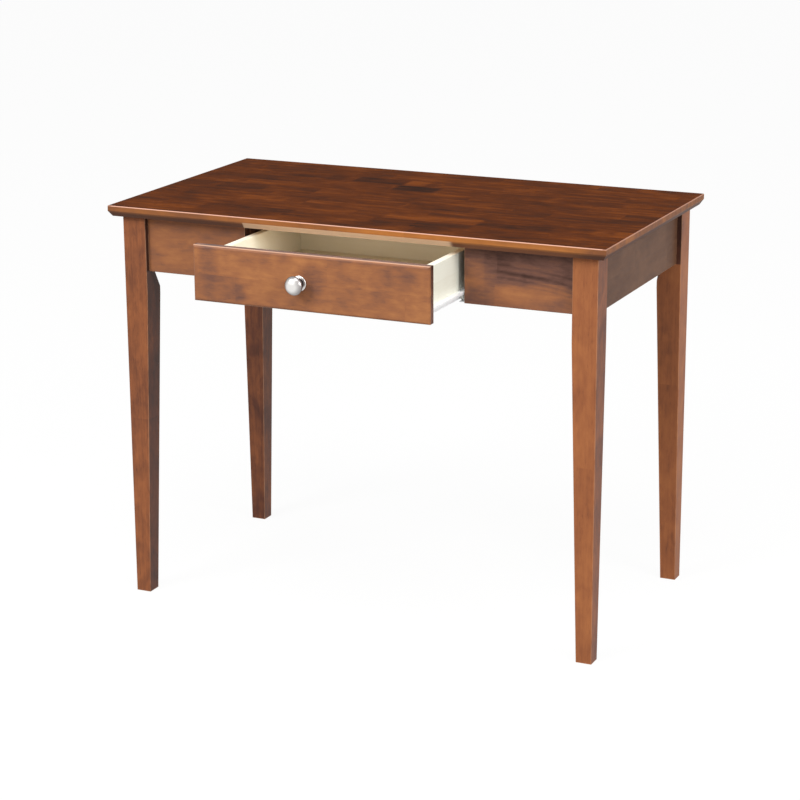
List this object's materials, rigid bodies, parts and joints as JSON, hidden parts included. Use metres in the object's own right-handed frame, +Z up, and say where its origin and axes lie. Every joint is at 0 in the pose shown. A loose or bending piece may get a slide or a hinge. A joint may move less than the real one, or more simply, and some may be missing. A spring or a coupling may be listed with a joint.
{
  "type": "writing desk",
  "caption": "Writing desk with a bevelled stave top, tapered legs, set-back aprons and a shallow overlay drawer on roller slides with a round knob.",
  "frame": {"origin": "on the floor, under the centre of the desktop", "axes": "+X to the user's right along the desktop, +Y to the back edge, +Z up"},
  "size_m": [0.914, 0.671, 0.711],
  "materials": {
    "stained_wood": "dark red-brown stain under a satin lacquer",
    "inner_wood": "bare planed wood",
    "drawer_wood": "pale cream, matt coat",
    "fastener_steel": "zinc plated",
    "slide_steel": "white powder coat",
    "roller_nylon": "moulded nylon",
    "knob_metal": "satin nickel"
  },
  "bodies": {
    "desk_frame": {"desktop": "stained_wood", "leg_front_left": "stained_wood", "leg_front_right": "stained_wood", "leg_back_left": "stained_wood", "leg_back_right": "stained_wood", "apron_front_left": "stained_wood", "apron_front_right": "stained_wood", "apron_left": "stained_wood", "apron_right": "stained_wood", "apron_back": "stained_wood", "runner_rail_left": "inner_wood", "runner_rail_right": "inner_wood", "corner_block_front_left": "inner_wood", "corner_block_front_right": "inner_wood", "corner_block_back_left": "inner_wood", "corner_block_back_right": "inner_wood", "rail_dowels": "inner_wood", "hanger_bolts": "fastener_steel", "bolt_washers": "fastener_steel", "bolt_nuts": "fastener_steel", "corner_block_screws": "fastener_steel", "desktop_screws": "fastener_steel", "front_roller_axles": "fastener_steel", "slide_rail_screws": "fastener_steel", "slide_rail_left": "slide_steel", "slide_rail_right": "slide_steel"},
    "drawer": {"drawer_side_left": "drawer_wood", "drawer_side_right": "drawer_wood", "drawer_back": "drawer_wood", "drawer_box_front": "drawer_wood", "drawer_bottom": "drawer_wood", "drawer_front": "stained_wood", "drawer_knob": "knob_metal", "knob_screw": "fastener_steel", "drawer_front_screws": "fastener_steel", "drawer_dowels": "inner_wood", "slide_runner_left": "slide_steel", "slide_runner_right": "slide_steel", "slide_runner_screws": "fastener_steel", "rear_roller_axles": "fastener_steel"},
    "front_roller_left": {"roller_front_left": "roller_nylon"},
    "front_roller_right": {"roller_front_right": "roller_nylon"},
    "rear_roller_left": {"roller_rear_left": "roller_nylon"},
    "rear_roller_right": {"roller_rear_right": "roller_nylon"}
  },
  "joints": [
    {"name": "drawer_slide", "type": "slide", "parent": "desk_frame", "child": "drawer", "axis": [0, -1, 0], "range_m": [-0.1455, 0.0795]},
    {"name": "front_roller_left_turn", "type": "hinge", "parent": "desk_frame", "child": "front_roller_left", "pos_m": [-0.1958, -0.213, 0.604], "axis": [1, 0, 0], "range_deg": [-1112, 608]},
    {"name": "front_roller_right_turn", "type": "hinge", "parent": "desk_frame", "child": "front_roller_right", "pos_m": [0.1958, -0.213, 0.604], "axis": [1, 0, 0], "range_deg": [-1112, 608]},
    {"name": "rear_roller_left_turn", "type": "hinge", "parent": "drawer", "child": "rear_roller_left", "pos_m": [-0.1958, -0.079, 0.604], "axis": [1, 0, 0], "range_deg": [-1112, 608]},
    {"name": "rear_roller_right_turn", "type": "hinge", "parent": "drawer", "child": "rear_roller_right", "pos_m": [0.1958, -0.079, 0.604], "axis": [1, 0, 0], "range_deg": [-1112, 608]}
  ],
  "couplings": [
    {"joint": "front_roller_left_turn", "follows": "drawer_slide", "rad_per_m": 133.33},
    {"joint": "front_roller_right_turn", "follows": "drawer_slide", "rad_per_m": 133.33},
    {"joint": "rear_roller_left_turn", "follows": "drawer_slide", "rad_per_m": 133.33},
    {"joint": "rear_roller_right_turn", "follows": "drawer_slide", "rad_per_m": 133.33}
  ]
}
